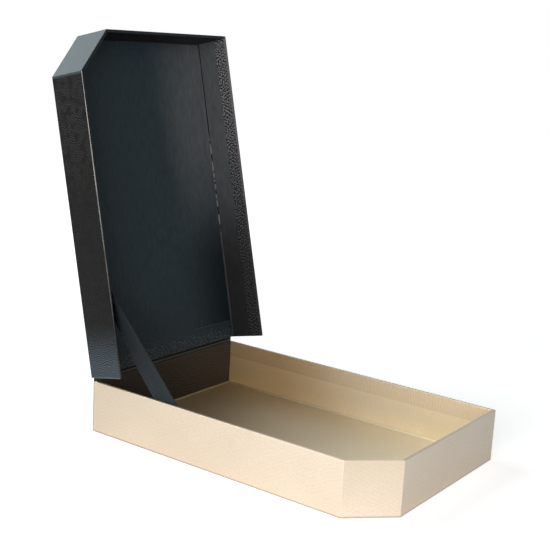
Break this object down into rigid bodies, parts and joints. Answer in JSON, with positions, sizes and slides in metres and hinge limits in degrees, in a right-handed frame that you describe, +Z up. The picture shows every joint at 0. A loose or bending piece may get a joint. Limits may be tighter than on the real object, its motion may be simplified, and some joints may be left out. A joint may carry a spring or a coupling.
{
  "type": "hinged gift box",
  "caption": "Shallow rigid gift box with a clipped corner, a hinged lid that telescopes over the tray, and a ribbon stay that holds the lid open.",
  "frame": {"origin": "centre of the tray's underside, on the table", "axes": "+X along the hinge towards the square front corner's side, +Y from the front towards the hinge, +Z up"},
  "size_m": [0.208, 0.3641, 0.3557],
  "materials": {
    "gold_paper": "embossed metallic paper, satin",
    "gold_liner": "smooth metallic paper, satin",
    "black_grain_paper": "leather-grained paper, semi-matt",
    "black_liner": "fine-grained paper, semi-matt",
    "hinge_cloth": "cross-grained bookbinding paper, matt",
    "greyboard": "raw greyboard, matt",
    "stay_tape": "kraft corner tape, matt",
    "ribbon": "woven ribbon, matt"
  },
  "bodies": {
    "tray": {"tray_left_board": "greyboard", "tray_clip_board": "greyboard", "tray_front_board": "greyboard", "tray_right_board": "greyboard", "tray_back_board": "greyboard", "tray_floor_board": "greyboard", "tray_stay_rear_left": "stay_tape", "tray_stay_clip_left": "stay_tape", "tray_stay_clip_front": "stay_tape", "tray_stay_front_right": "stay_tape", "tray_stay_rear_right": "stay_tape", "tray_wrap": "gold_paper", "tray_wall_liner": "gold_liner", "tray_floor_liner": "gold_liner", "tray_bottom_sheet": "gold_liner", "spine_cover": "black_grain_paper", "hinge_lining_tray": "hinge_cloth", "ribbon_stay": "ribbon"},
    "lid": {"lid_left_board": "greyboard", "lid_clip_board": "greyboard", "lid_front_board": "greyboard", "lid_right_board": "greyboard", "lid_panel_board": "greyboard", "lid_stay_clip_left": "stay_tape", "lid_stay_clip_front": "stay_tape", "lid_stay_front_right": "stay_tape", "lid_wrap": "black_grain_paper", "lid_wall_liner": "black_liner", "hinge_lining_lid": "hinge_cloth", "lid_panel_liner": "black_liner"}
  },
  "joints": [
    {"name": "lid_hinge", "type": "hinge", "parent": "tray", "child": "lid", "pos_m": [0, 0.15, 0.0509], "axis": [1, 0, 0], "range_deg": [0, 102.2], "deforming": ["ribbon_stay"]}
  ]
}
